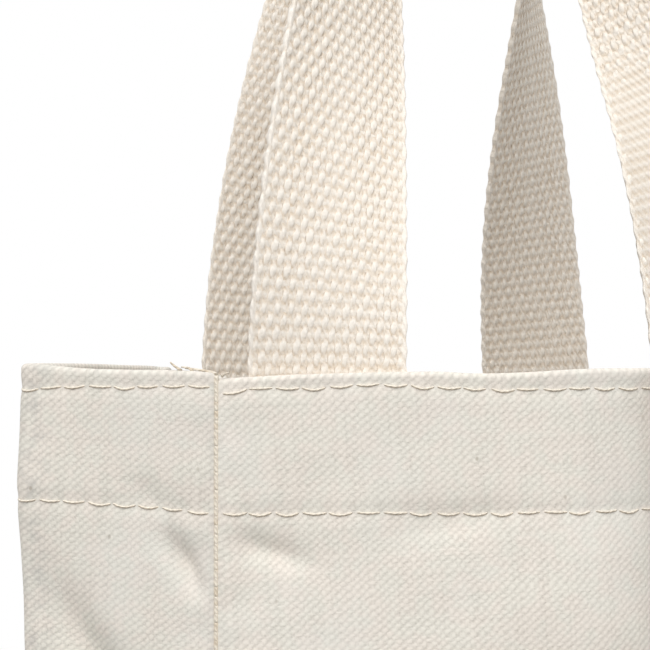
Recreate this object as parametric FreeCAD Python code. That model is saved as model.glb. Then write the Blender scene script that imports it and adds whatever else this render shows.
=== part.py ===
import FreeCAD, Part
import math
import os

os.makedirs("parts", exist_ok=True)

# Cloth body, mm. Front faces -Y, base stands on z = 0.
base_width = 104.0
base_depth = 100.0
body_height = 280.0
cloth_thickness = 0.8
hem_depth = 25.0
seam_allowance = 8.0
wall_bow = 3.0

# Mouth of the bag, pinched on the left where the gusset folds outward
mouth_left_depth = 76.0
mouth_right_depth = 99.0
left_gusset_front_half = 34.0
left_gusset_back_half = 67.0
right_gusset_bow = 4.0
pinch_depth = 45.0

# Webbing handles
strap_width = 25.4
strap_thickness = 2.0
tail_length = 24.0
front_strap_inset = 5.5
back_strap_inset = 8.0
handle_rise = 140.0
front_arch_radius = 19.0
back_arch_radius = 18.0
front_arch_shift = -3.7
back_arch_shift = -1.6
grip_gap = 3.0
front_leg_straightness = 0.2
back_leg_straightness = 0.7
turn_evenness = 0.95

# Thread
thread_width = 0.45
thread_height = 0.3
stitch_length = 3.4
stitch_pitch = 4.25
top_row_drop = 2.6
hem_row_drop = 22.6

# Clearances and small placings
seam_gap = 0.2
lay_gap = 0.05
seam_thread_gap = 0.15
seam_lean = 0.3
base_flange_height = 8.0
base_flange_stop = 12.0
hinge_gap = 0.3
hinge_lift = 0.4
hinge_inset = 0.5
stitch_end_margin = 3.0

thread_from_fold = 1.0
thread_end_gap = 1.0
hem_step = 0.1

hem_thickness = 2 * cloth_thickness
hem_bottom = body_height - hem_depth
wall_start = cloth_thickness + seam_gap
# Heights of the cross-sections below the hem, as shares of the height where the pinch is full
section_shares = (0.19, 0.38, 0.57, 0.76, 0.89, 1.0)
section_heights = [share * (body_height - pinch_depth) for share in section_shares]


def vec(x, y, z=0.0):
    return FreeCAD.Vector(x, y, z)


def unit(v):
    return v * (1.0 / v.Length)


def left_of(v):
    return vec(-v.y, v.x)


def ease(u):
    u = min(max(u, 0.0), 1.0)
    return u * u * (3 - 2 * u)


def crossing(p, d, q, e):
    # Point where the line p + s d meets the line q + t e
    s = ((q.x - p.x) * e.y - (q.y - p.y) * e.x) / (d.x * e.y - d.y * e.x)
    return p + d * s


def mouth_outline():
    # Outer outline of the mouth, six named points seen from above
    half_left = mouth_left_depth / 2
    half_right = mouth_right_depth / 2
    run = math.sqrt(base_width ** 2 - (half_right - half_left) ** 2)
    left_x = -base_width / 2
    fold_y = (left_gusset_front_half ** 2 - left_gusset_back_half ** 2) / (2 * mouth_left_depth)
    fold_out = math.sqrt(left_gusset_front_half ** 2 - (half_left + fold_y) ** 2)
    return {
        "front_left": vec(left_x, -half_left),
        "front_right": vec(left_x + run, -half_right),
        "right_fold": vec(left_x + run + right_gusset_bow, 0),
        "back_right": vec(left_x + run, half_right),
        "back_left": vec(left_x, half_left),
        "left_fold": vec(left_x - fold_out, fold_y),
    }


def base_outline():
    fold_share = left_gusset_front_half / (left_gusset_front_half + left_gusset_back_half)
    return {
        "front_left": vec(-base_width / 2, -base_depth / 2),
        "front_right": vec(base_width / 2, -base_depth / 2),
        "right_fold": vec(base_width / 2, 0),
        "back_right": vec(base_width / 2, base_depth / 2),
        "back_left": vec(-base_width / 2, base_depth / 2),
        "left_fold": vec(-base_width / 2, base_depth * (fold_share - 0.5)),
    }


mouth = mouth_outline()
base = base_outline()


def outline_at(z):
    share = ease(z / (body_height - pinch_depth))
    return {name: base[name] + (mouth[name] - base[name]) * share for name in base}


def bow_at(z):
    return wall_bow * math.sin(math.pi * min(z / hem_bottom, 1.0))


def wall_line(panel, z):
    # Outer line of one panel at height z, travelling anticlockwise seen from above
    p = outline_at(z)
    if panel in ("front", "back"):
        if panel == "front":
            start, end = p["front_left"], p["front_right"]
        else:
            start, end = p["back_right"], p["back_left"]
        out = left_of(unit(end - start)) * -bow_at(z)
        return [start, start + (end - start) * (1 / 3) + out, start + (end - start) * (2 / 3) + out, end]
    if panel == "right":
        return [p["front_right"], p["right_fold"], p["back_right"]]
    return [p["back_left"], p["left_fold"], p["front_left"]]


corner_sides = {
    "front_left": ("left", "front"),
    "front_right": ("front", "right"),
    "back_right": ("right", "back"),
    "back_left": ("back", "left"),
}
panel_ends = {
    "front": ("front_left", "front_right"),
    "right": ("front_right", "back_right"),
    "back": ("back_right", "back_left"),
    "left": ("back_left", "front_left"),
}


def seam_direction(corner, z):
    # Inward direction of the seam allowances, leaning towards the gusset
    arriving, leaving = corner_sides[corner]
    before = wall_line(arriving, z)
    after = wall_line(leaving, z)
    back_along = unit(before[-2] - before[-1])
    on_along = unit(after[1] - after[0])
    gusset, panel = back_along, on_along
    if leaving in ("left", "right"):
        gusset, panel = on_along, back_along
    angle = gusset.getAngle(panel)
    near = math.sin((1 - seam_lean) * angle)
    far = math.sin(seam_lean * angle)
    return unit(gusset * near + panel * far)


def flange_points(corner_point, along, seam, wall):
    # Outer corner, two tip points and inner corner of one turned-in edge
    side = unit(along - seam * along.dot(seam))
    inward = left_of(along)
    if inward.dot(seam) < 0:
        inward = inward * -1
    mate = corner_point + side * (seam_gap / 2)
    far = mate + side * wall
    outer = crossing(corner_point, along, mate, seam)
    inner = crossing(corner_point + inward * wall, along, far, seam)
    return [outer, mate + seam * seam_allowance, far + seam * seam_allowance, inner]


def panel_wire(panel, z, wall):
    line = wall_line(panel, z)
    first, last = panel_ends[panel]
    start = flange_points(line[0], unit(line[1] - line[0]), seam_direction(first, z), wall)
    end = flange_points(line[-1], unit(line[-2] - line[-1]), seam_direction(last, z), wall)
    inner = []
    for k in range(1, len(line) - 1):
        before = unit(line[k] - line[k - 1])
        after = unit(line[k + 1] - line[k])
        if before.getAngle(after) < 1e-6:
            inner.append(line[k] + left_of(before) * wall)
        else:
            inner.append(crossing(line[k] + left_of(before) * wall, before,
                                  line[k] + left_of(after) * wall, after))
    ring = [start[0]] + line[1:-1] + end + inner[::-1] + [start[3], start[2], start[1]]
    ring = [vec(p.x, p.y, z) for p in ring]
    return Part.makePolygon(ring + [ring[0]])


def panel_solid(panel):
    # One sheet with turned-in sides, doubled where the top is folded inside as a hem
    levels = [(z, cloth_thickness) for z in [wall_start] + section_heights + [hem_bottom - hem_step]]
    levels += [(z, hem_thickness) for z in (hem_bottom, body_height)]
    return Part.makeLoft([panel_wire(panel, z, wall) for z, wall in levels], True, True)


def base_solid():
    plate = Part.makeBox(base_width, base_depth, cloth_thickness,
                         vec(-base_width / 2, -base_depth / 2, 0))
    inset = cloth_thickness + seam_gap
    long_x = base_width - 2 * base_flange_stop
    long_y = base_depth - 2 * base_flange_stop
    for side in (-1, 1):
        y = side * (base_depth / 2 - inset - cloth_thickness / 2) - cloth_thickness / 2
        plate = plate.fuse(Part.makeBox(long_x, cloth_thickness, cloth_thickness + base_flange_height,
                                        vec(-long_x / 2, y, 0)))
        x = side * (base_width / 2 - inset - cloth_thickness / 2) - cloth_thickness / 2
        plate = plate.fuse(Part.makeBox(cloth_thickness, long_y, cloth_thickness + base_flange_height,
                                        vec(x, -long_y / 2, 0)))
    return plate.removeSplitter()


def slab(start, along, length, inward, near, far, z_low, z_high):
    # Upright plate standing on a line, from offset near to offset far on its inward side
    a = start + inward * near
    b = start + inward * far
    ring = [a, a + along * length, b + along * length, b]
    ring = [vec(p.x, p.y, z_low) for p in ring]
    face = Part.Face(Part.makePolygon(ring + [ring[0]]))
    return face.extrude(vec(0, 0, z_high - z_low))


class Handle:
    def __init__(self, left, right, inset, radius, shift, straightness):
        self.along = unit(right - left)
        middle = (left + right) * 0.5
        self.inward = left_of(self.along)
        if self.inward.dot(middle) > 0:
            self.inward = self.inward * -1
        self.left = left
        self.span = (right - left).Length
        self.inset = inset
        self.radius = radius
        self.shift = shift
        self.straightness = straightness
        self.near = hem_thickness + lay_gap
        self.half = self.span / 2 - inset - strap_width / 2
        self.middle = middle + self.inward * (self.near + strap_thickness / 2)
        # The grips stop short of the middle plane, so they meet without touching
        ends = [self.middle.y + self.along.y * (shift + side * radius) for side in (-1, 1)]
        reach = (min(abs(y) for y in ends) - grip_gap / 2) / abs(self.inward.y)
        self.lean = reach - strap_width / 2

    def tail(self, side):
        begin = self.inset
        if side == "right":
            begin = self.span - self.inset - strap_width
        return slab(self.left + self.along * begin, self.along, strap_width, self.inward,
                    self.near, self.near + strap_thickness, body_height - tail_length, body_height)

    def leg_point(self, u, sign):
        # u runs from 0 at the hem to 1 where the leg meets the arch
        top = handle_rise - self.radius
        foot = sign * self.half
        head = self.shift + sign * self.radius
        run = foot + (head - foot) * (self.straightness * u + (1 - self.straightness) * ease(u))
        return run, self.lean * ease(u), body_height + hinge_gap + (top - hinge_gap) * u

    def arch_point(self, angle):
        run = self.shift - self.radius * math.cos(angle)
        rise = body_height + handle_rise - self.radius + self.radius * math.sin(angle)
        return run, self.lean, rise

    def place(self, point):
        run, lean, z = point
        p = self.middle + self.along * run + self.inward * lean
        return vec(p.x, p.y, z)

    def turn(self, u):
        return math.pi / 2 * (turn_evenness * u + (1 - turn_evenness) * u ** 3)

    def loop(self, leg_steps=18, arch_steps=12):
        centres, edges = [], []
        for k in range(leg_steps):
            u = k / leg_steps
            centres.append(self.place(self.leg_point(u, -1)))
            a = self.turn(u)
            edges.append(self.along * math.cos(a) + self.inward * math.sin(a))
        for k in range(arch_steps + 1):
            centres.append(self.place(self.arch_point(math.pi * k / arch_steps)))
            edges.append(self.inward)
        for k in range(leg_steps - 1, -1, -1):
            u = k / leg_steps
            centres.append(self.place(self.leg_point(u, 1)))
            a = self.turn(u)
            edges.append(self.along * -math.cos(a) + self.inward * math.sin(a))
        wires = []
        for k, centre in enumerate(centres):
            ahead = centres[min(k + 1, len(centres) - 1)]
            behind = centres[max(k - 1, 0)]
            path = unit(ahead - behind)
            if k in (0, len(centres) - 1):
                path = vec(0, 0, 1 if k == 0 else -1)
            wide = unit(edges[k] - path * edges[k].dot(path)) * (strap_width / 2)
            thick = unit(wide.cross(path)) * (strap_thickness / 2)
            ring = [centre - wide - thick, centre + wide - thick,
                    centre + wide + thick, centre - wide + thick]
            wires.append(Part.makePolygon(ring + [ring[0]]))
        return Part.makeLoft(wires, True, True)


front_handle = Handle(mouth["front_left"], mouth["front_right"], front_strap_inset,
                      front_arch_radius, front_arch_shift, front_leg_straightness)
back_handle = Handle(mouth["back_left"], mouth["back_right"], back_strap_inset,
                     back_arch_radius, back_arch_shift, back_leg_straightness)


def tail_spans(panel):
    # Where the strap tails lie along a panel, measured the way the panel travels
    handle = {"front": front_handle, "back": back_handle}.get(panel)
    if handle is None:
        return []
    near = handle.inset
    return [(near, near + strap_width), (handle.span - near - strap_width, handle.span - near)]


def hem_stitches(panel, drop):
    # Outside and inside stitches of one row across one panel
    bars = []
    z = body_height - drop
    line = wall_line(panel, body_height)
    if panel in ("front", "back"):
        line = [line[0], line[-1]]
    spans = tail_spans(panel)
    for start, end in zip(line, line[1:]):
        along = unit(end - start)
        inward = left_of(along)
        room = (end - start).Length - 2 * stitch_end_margin
        count = int((room - stitch_length) / stitch_pitch) + 1
        lead = stitch_end_margin + (room - stitch_length - (count - 1) * stitch_pitch) / 2
        for k in range(count):
            at = lead + k * stitch_pitch
            foot = start + along * at
            bars.append(slab(foot, along, stitch_length, inward, -lay_gap - thread_height, -lay_gap,
                             z - thread_width / 2, z + thread_width / 2))
            on_tail = any(low < at and at + stitch_length < high for low, high in spans)
            off_tail = all(at + stitch_length < low or high < at for low, high in spans)
            clear = seam_allowance + hem_thickness + stitch_end_margin
            at_end = at < clear or at + stitch_length > (end - start).Length - clear
            if on_tail:
                near = hem_thickness + lay_gap + strap_thickness + lay_gap
            elif off_tail and not at_end:
                near = hem_thickness + lay_gap
            else:
                continue
            bars.append(slab(foot, along, stitch_length, inward, near, near + thread_height,
                             z - thread_width / 2, z + thread_width / 2))
    return Part.makeCompound(bars)


def seam_thread(corner):
    # Thread lying along both sides of one corner seam, below the hem and through it
    arriving, leaving = corner_sides[corner]
    runs = [
        (cloth_thickness, section_heights + [hem_bottom - thread_end_gap]),
        (hem_thickness, [hem_bottom + thread_end_gap, body_height - thread_end_gap]),
    ]
    strips = []
    for panel in (arriving, leaving):
        for wall, heights in runs:
            wires = []
            for z in heights:
                line = wall_line(panel, z)
                if panel == leaving:
                    along = unit(line[1] - line[0])
                    corner_point = line[0]
                else:
                    along = unit(line[-2] - line[-1])
                    corner_point = line[-1]
                seam = seam_direction(corner, z)
                outer, mate_tip, tip, inner = flange_points(corner_point, along, seam, wall)
                side = unit(along - seam * along.dot(seam))
                begin = inner + seam * thread_from_fold + side * seam_thread_gap
                ring = [begin, begin + seam * thread_width,
                        begin + seam * thread_width + side * thread_height, begin + side * thread_height]
                ring = [vec(p.x, p.y, z) for p in ring]
                wires.append(Part.makePolygon(ring + [ring[0]]))
            strips.append(Part.makeLoft(wires, True, True))
    return Part.makeCompound(strips)


def base_thread(side):
    # Thread along the foot of one turned-up edge of the base
    inset = 2 * cloth_thickness + seam_gap + lay_gap
    length_x = base_width - 2 * base_flange_stop - 2
    length_y = base_depth - 2 * base_flange_stop - 2
    z = cloth_thickness + lay_gap
    if side in ("front", "back"):
        y = base_depth / 2 - inset - thread_height
        if side == "front":
            y = -base_depth / 2 + inset
        return Part.makeBox(length_x, thread_height, thread_width, vec(-length_x / 2, y, z))
    x = base_width / 2 - inset - thread_height
    if side == "left":
        x = -base_width / 2 + inset
    return Part.makeBox(thread_height, length_y, thread_width, vec(x, -length_y / 2, z))


nodes = {
    "front_panel": panel_solid("front"),
    "back_panel": panel_solid("back"),
    "left_gusset": panel_solid("left"),
    "right_gusset": panel_solid("right"),
    "base_panel": base_solid(),
    "front_handle_strap": front_handle.loop(),
    "back_handle_strap": back_handle.loop(),
    "front_left_handle_tail": front_handle.tail("left"),
    "front_right_handle_tail": front_handle.tail("right"),
    "back_left_handle_tail": back_handle.tail("left"),
    "back_right_handle_tail": back_handle.tail("right"),
}
for panel in panel_ends:
    nodes[panel + "_top_stitches"] = hem_stitches(panel, top_row_drop)
    nodes[panel + "_hem_stitches"] = hem_stitches(panel, hem_row_drop)
    nodes[panel + "_base_seam_thread"] = base_thread(panel)
for corner in corner_sides:
    nodes[corner + "_seam_thread"] = seam_thread(corner)

for name, shape in nodes.items():
    shape.exportStep("parts/" + name + ".step")
    box = shape.BoundBox
    print(name, len(shape.Solids), "solids", "valid" if shape.isValid() else "NOT VALID",
          "volume %.1f" % shape.Volume,
          "x %.1f %.1f y %.1f %.1f z %.1f %.1f" % (box.XMin, box.XMax, box.YMin, box.YMax, box.ZMin, box.ZMax))

for name, handle in (("front", front_handle), ("back", back_handle)):
    pivot = (handle.left + handle.along * (handle.span / 2)) + handle.inward * hinge_inset
    print(name, "hinge at %.3f %.3f %.3f" % (pivot.x, pivot.y, body_height + hinge_lift),
          "along %.5f %.5f" % (handle.along.x, handle.along.y), "lean %.2f" % handle.lean)
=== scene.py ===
import math
import bpy
import numpy as np
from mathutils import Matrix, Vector


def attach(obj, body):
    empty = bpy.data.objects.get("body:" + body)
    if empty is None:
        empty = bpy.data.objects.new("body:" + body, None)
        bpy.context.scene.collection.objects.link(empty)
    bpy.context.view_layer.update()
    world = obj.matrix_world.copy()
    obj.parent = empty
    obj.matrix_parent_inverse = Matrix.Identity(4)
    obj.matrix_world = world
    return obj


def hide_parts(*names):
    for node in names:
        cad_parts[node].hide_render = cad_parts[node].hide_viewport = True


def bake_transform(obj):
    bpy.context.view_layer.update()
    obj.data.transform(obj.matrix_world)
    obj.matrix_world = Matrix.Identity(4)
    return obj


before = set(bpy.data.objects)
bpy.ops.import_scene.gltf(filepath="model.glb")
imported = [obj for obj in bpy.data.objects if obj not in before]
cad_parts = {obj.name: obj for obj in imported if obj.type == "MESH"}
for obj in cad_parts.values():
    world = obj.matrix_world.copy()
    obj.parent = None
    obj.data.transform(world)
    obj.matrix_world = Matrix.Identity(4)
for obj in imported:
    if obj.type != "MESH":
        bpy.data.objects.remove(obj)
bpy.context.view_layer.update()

mm = 0.001  # the shapes below are worked out in millimetres; front is -Y, up is +Z

bag = dict(
    height=280.0,
    cloth=0.8,
    hem=25.0,
    allowance=8.0,
    foldGap=0.15,         # air between the two layers of the hem
    layGap=0.05,          # air left under the cloth and inside the bag's outline
    wallBow=3.0,
    pinchDepth=45.0,      # below the rim, where the pinched mouth outline is full
    seamLean=0.3,         # how far a seam allowance stands off the gusset, as a share of the corner
    pinchedLean=0.45,     # the same at the pinched front left corner
    seamTurn=0.45,        # length of cloth that curves into a seam
)
baseOutline = dict(frontLeft=(-52.0, -50.0), frontRight=(52.0, -50.0), rightFold=(52.0, 0.0),
                   backRight=(52.0, 50.0), backLeft=(-52.0, 50.0), leftFold=(-52.0, -16.34))
mouthOutline = dict(frontLeft=(-52.0, -38.0), frontRight=(51.362, -49.5), rightFold=(55.362, 0.0),
                    backRight=(51.362, 49.5), backLeft=(-52.0, 38.0), leftFold=(-82.9, -22.0))
corners = dict(frontLeft=("leftFold", "frontRight"), frontRight=("rightFold", "frontLeft"),
               backRight=("rightFold", "backLeft"), backLeft=("leftFold", "backRight"))


def ease(u):
    u = np.clip(u, 0.0, 1.0)
    return u * u * (3.0 - 2.0 * u)


def unit(v):
    return v / np.linalg.norm(v, axis=-1, keepdims=True)


def leftOf(v):
    return np.stack([-v[..., 1], v[..., 0]], axis=-1)


def outlinePoint(name, z):
    share = ease(z / (bag["height"] - bag["pinchDepth"]))[..., None]
    base = np.array(baseOutline[name])
    return base + (np.array(mouthOutline[name]) - base) * share


def allowanceWay(corner, z):
    gussetEnd, panelEnd = corners[corner]
    here = outlinePoint(corner, z)
    toGusset = outlinePoint(gussetEnd, z) - here
    toPanel = outlinePoint(panelEnd, z) - here
    a = np.arctan2(toGusset[..., 1], toGusset[..., 0])
    b = np.arctan2(toPanel[..., 1], toPanel[..., 0])
    gap = np.mod(b - a + np.pi, 2.0 * np.pi) - np.pi
    lean = bag["pinchedLean"] if corner == "frontLeft" else bag["seamLean"]
    turn = a + lean * gap
    return np.stack([np.cos(turn), np.sin(turn)], axis=-1)


def offsetLine(line, depth):
    # Moves a bent line to its left side by depth, corner by corner
    ways = [unit(line[k + 1] - line[k]) for k in range(len(line) - 1)]
    sides = [leftOf(w) for w in ways]
    depth = depth[..., None]
    moved = [line[0] + sides[0] * depth]
    for k in range(1, len(line) - 1):
        both = sides[k - 1] + sides[k]
        moved.append(line[k] + both * depth / (1.0 + (sides[k - 1] * sides[k]).sum(-1, keepdims=True)))
    moved.append(line[-1] + sides[-1] * depth)
    return moved


def roundedLine(line, cuts, runCounts, turnCounts):
    # Straight runs joined by soft turns, with a fixed number of points in each
    parts = []
    last = line[0]
    for k in range(1, len(line) - 1):
        start = line[k] + unit(line[k - 1] - line[k]) * cuts[k - 1]
        end = line[k] + unit(line[k + 1] - line[k]) * cuts[k - 1]
        t = np.linspace(0.0, 1.0, runCounts[k - 1], endpoint=False)[None, :, None]
        parts.append(last[:, None] * (1 - t) + start[:, None] * t)
        t = np.linspace(0.0, 1.0, turnCounts[k - 1], endpoint=False)[None, :, None]
        lead = start[:, None] * (1 - t) ** 2 + line[k][:, None] * 2 * t * (1 - t)
        parts.append(lead + end[:, None] * t * t)
        last = end
    t = np.linspace(0.0, 1.0, runCounts[-1])[None, :, None]
    parts.append(last[:, None] * (1 - t) + line[-1][:, None] * t)
    return np.concatenate(parts, axis=1)


def smoothCurve(stops, x):
    # A smooth line through a few (place, value) stops
    stops = np.array(stops, float)
    px, py = stops[:, 0], stops[:, 1]
    slope = np.gradient(py, px)
    k = np.clip(np.searchsorted(px, x) - 1, 0, len(px) - 2)
    step = px[k + 1] - px[k]
    t = np.clip((x - px[k]) / step, 0.0, 1.0)
    rest = 1.0 - t
    return (py[k] * rest * rest * (1 + 2 * t) + py[k + 1] * t * t * (3 - 2 * t)
            + step * (slope[k] * t * rest * rest - slope[k + 1] * t * t * rest))


def runLength(points):
    # Length along each line of points, from 0 at its start
    steps = np.linalg.norm(np.diff(points, axis=-2), axis=-1)
    return np.concatenate([np.zeros_like(steps[..., :1]), np.cumsum(steps, axis=-1)], axis=-1)


def softWaves(seed, count, shortest, longest, upStretch=1.0):
    # Smooth uneven field with a spread of wavelengths, about -1 to 1
    rng = np.random.default_rng(seed)
    length = rng.uniform(shortest, longest, count)
    way = rng.uniform(0.0, 2.0 * np.pi, count)
    kx = 2.0 * np.pi * np.cos(way) / length
    kz = 2.0 * np.pi * np.sin(way) / (length * upStretch)
    shift = rng.uniform(0.0, 2.0 * np.pi, count)

    def field(x, z):
        total = 0.0
        for k in range(count):
            total = total + np.sin(kx[k] * x + kz[k] * z + shift[k])
        return total / math.sqrt(count)
    return field


def deselectAll():
    bpy.ops.object.select_all(action="DESELECT")


def editAll(piece, operator, **settings):
    # Runs one edit mode operator on the whole of a piece
    deselectAll()
    piece.select_set(True)
    bpy.context.view_layer.objects.active = piece
    bpy.ops.object.mode_set(mode="EDIT")
    bpy.ops.mesh.select_all(action="SELECT")
    operator(**settings)
    bpy.ops.object.mode_set(mode="OBJECT")


def placesOf(mesh):
    places = np.empty(len(mesh.vertices) * 3)
    mesh.vertices.foreach_get("co", places)
    return places.reshape(-1, 3)


def hold(mesh, name, values):
    # Keeps a number or a vector at each point, for the finishes to read
    kind, field = ("FLOAT_VECTOR", "vector") if values.ndim == 2 else ("FLOAT", "value")
    held = mesh.attributes.new(name, kind, "POINT")
    held.data.foreach_set(field, values.astype(np.float32).ravel())


def newPiece(name, points, faces):
    mesh = bpy.data.meshes.new(name)
    mesh.from_pydata((points * mm).tolist(), [], faces)
    mesh.polygons.foreach_set("use_smooth", np.ones(len(mesh.polygons), bool))
    mesh.update()
    piece = bpy.data.objects.new(name, mesh)
    bpy.context.scene.collection.objects.link(piece)
    return piece


def clothGrid(name, points, weave, wearAndShade):
    # A grid primitive whose points are moved to the places worked out for them
    rows, columns = points.shape[:2]
    deselectAll()
    bpy.ops.mesh.primitive_grid_add(x_subdivisions=columns - 1, y_subdivisions=rows - 1, size=2.0)
    piece = bpy.context.object
    piece.name = name
    piece.data.name = name
    flat = placesOf(piece.data)
    column = np.rint((flat[:, 0] + 1.0) / 2.0 * (columns - 1)).astype(int)
    row = np.rint((flat[:, 1] + 1.0) / 2.0 * (rows - 1)).astype(int)
    piece.data.vertices.foreach_set("co", (points[row, column] * mm).ravel())
    hold(piece.data, "weave", weave[row, column])
    hold(piece.data, "wearAndShade", wearAndShade[row, column])
    piece.data.update()
    return piece


def thicken(piece, thickness):
    bpy.context.view_layer.objects.active = piece
    solid = piece.modifiers.new("thickness", "SOLIDIFY")
    solid.thickness = thickness * mm
    solid.offset = 0.0
    bpy.ops.object.modifier_apply(modifier="thickness")
    bpy.ops.object.shade_smooth()


# The four walls: each is one sheet that runs up the outside, over the rim and down inside as the hem

wall = dict(
    lowStep=2.2,          # grid spacing in the lower wall, near the hem and across
    hemStep=0.55,
    acrossStep=0.8,
    hemZone=45.0,         # depth below the rim that has the closer spacing
    lowCount=6,           # rows in the turned-up lower edge, and in its fold
    rimCount=9,
    innerCount=28,
    flangeCount=6,        # columns in a seam allowance, and in the turn to it
    turnCount=6,
    edgeCalm=5.0,         # dents and waves fade out this near to a seam
    floorCalm=30.0,       # and waves this near to the floor
    hemCalm=0.65,         # share of the broad waves that the hem takes out, from where and over how much
    calmStart=250.0,
    calmReach=12.0,
    curveStart=100.0,     # height where the mouth's curve begins, and the reach over which it grows
    curveReach=150.0,
    riseStart=262.0,      # the same for the uneven rim
    riseReach=17.0,
    broadWaves=(9, 35.0, 90.0, 1.8),      # how many, shortest, longest, stretch upwards
    broadHeight=0.8,
    smallWaves=(12, 9.0, 22.0, 1.4),
    smallHeight=0.10,
    puckerPitch=8.5,      # puckers beside the seams
    puckerHeight=0.16,
    puckerReach=4.0,
    puckerWander=2.0,
    puckerWaves=(5, 25.0, 60.0),
    puckerSlant=0.2,
    puckerStart=0.5,      # none this close to the seam
    rowPull=0.22,         # how deep a row of sewing pulls the cloth in
    rowBeat=0.45,         # how much that varies along each stitch
    rowWidth=dict(top=1.1, hem=1.3),
    rowRoom=2.0,          # how far below the hem's edge the pull reaches
    rowFade=2.0,          # and how near to a seam it fades, down to this share
    rowLeast=0.3,
    proud=dict(height=0.5, reach=5.0, start=268.0, rise=11.0),
    rimWear=(0.6, 1.1),   # amount and reach of the rubbed look; for the crease, of painted shade
    seamWear=(0.35, 1.0),
    floorWear=(0.7, 2.0),
    creaseShade=(1.0, 2.4),
    creaseShadeFade=120.0,     # the painted crease shade is weaker below this height
)
# Curves: place across, value. Dents: place across, height, tilt, half length, half width, depth.
walls = dict(
    front=dict(
        stops=("frontLeft", "frontRight"), cuts=(), bow=1.0, seed=11, grainTurn=3.4,
        mouthCurve=((0, 0), (15, 1.6), (30, 3.2), (42, 4.4), (52, 4.6), (59, 3.8), (65, 2.0), (68.5, 0.1),
                    (73, -4.4), (76, -5.2), (82, -3.0), (88, -0.6), (92, 0), (104, 0)),
        rimRise=((0, -1.3), (6, -0.95), (12, -0.65), (20, -0.42), (30, -0.22), (35, -0.2), (40, -0.48),
                 (45, -0.45), (51, -0.2), (56, 0.1), (61, 0.27), (68, 0.3), (80, 0.15), (104, 0.0)),
        topDrop=((0, 2.4), (3, 2.05), (6, 1.85), (11, 2.1), (16, 2.1), (20, 1.9), (25, 1.85), (29, 2.0),
                 (34, 2.3), (40, 2.3), (45, 2.55), (51, 2.75), (56, 2.95), (62, 3.05), (104, 2.8)),
        dents=((8.5, 251.0, -20, 5.5, 2.1, -1.3), (38, 256.0, 12, 9, 2.8, -0.6), (60, 240, 70, 16, 6, 0.3),
               (30, 150, 60, 40, 7, -2.4), (75, 110, 115, 45, 8, -2.6), (52, 40, 80, 30, 12, 1.4),
               (18, 60, 68, 26, 5, -2.0), (88, 52, 116, 24, 5, -1.8), (56, 196, 97, 26, 7, -1.7))),
    right=dict(
        stops=("frontRight", "rightFold", "backRight"), cuts=(26.0,), bow=0.3, seed=12, grainTurn=1.0,
        rimRise=((0, -0.3), (50, -1.5), (99, -1.6)), topDrop=((0, 2.8), (99, 2.9)),
        dents=((48, 190, 85, 60, 8, -3.0), (30, 90, 65, 40, 7, -2.4), (70, 120, 115, 40, 7, -2.2),
               (82, 46, 112, 22, 5, -1.8), (16, 52, 70, 22, 5, -1.6), (74, 226, 62, 24, 6, -1.5),
               (24, 238, 118, 18, 5, -1.2))),
    back=dict(
        stops=("backRight", "backLeft"), cuts=(), bow=1.0, seed=13, grainTurn=-1.2,
        rimRise=((0, -1.6), (50, -1.8), (104, -1.2)), topDrop=((0, 2.8), (50, 2.6), (104, 2.9)),
        dents=((40, 180, 65, 45, 7, -2.6), (70, 90, 110, 45, 8, -2.6), (20, 60, 66, 26, 5, -1.9),
               (88, 48, 114, 22, 5, -1.7), (78, 214, 104, 26, 6, -1.8), (50, 244, 12, 16, 3.5, -0.9))),
    left=dict(
        stops=("backLeft", "leftFold", "frontLeft"), cuts=(2.2,), bow=0.0, seed=14, grainTurn=-2.2,
        waves=0.25,
        rimRise=((0, 0.05), (6, 0.3), (17, 0.47), (33, 0.8), (50, 1.0), (62, 1.05), (67, 1.0), (70, 0.75),
                 (75.7, 0.3), (84, 0.08), (93, 0.0), (98, -0.28), (101.8, -0.7)),
        topDrop=((0, 3.0), (40, 3.6), (62, 3.95), (67, 3.9), (75.7, 2.85), (84, 2.71), (93, 2.4), (98, 2.22),
                 (101.8, 1.95)),
        hemDrop=((0, 22.6), (40, 21.4), (67, 21.1), (80, 21.5), (90, 22.0), (96, 22.6), (101, 22.9)),
        dents=((94.4, 248.6, -50, 6, 2.3, -2.4), (79.2, 231.0, -58, 13, 3.6, -2.8),
               (87.5, 260, -30, 4, 2.2, -0.5), (67, 259, 90, 12, 9, 0.6), (84, 170, 110, 50, 8, -2.2),
               (30, 150, 70, 50, 8, -2.8), (45, 80, 95, 40, 10, 1.4), (18, 52, 66, 22, 5, -1.7),
               (86, 60, 114, 24, 5, -1.8), (34, 226, 104, 24, 6, -1.6))),
)


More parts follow.
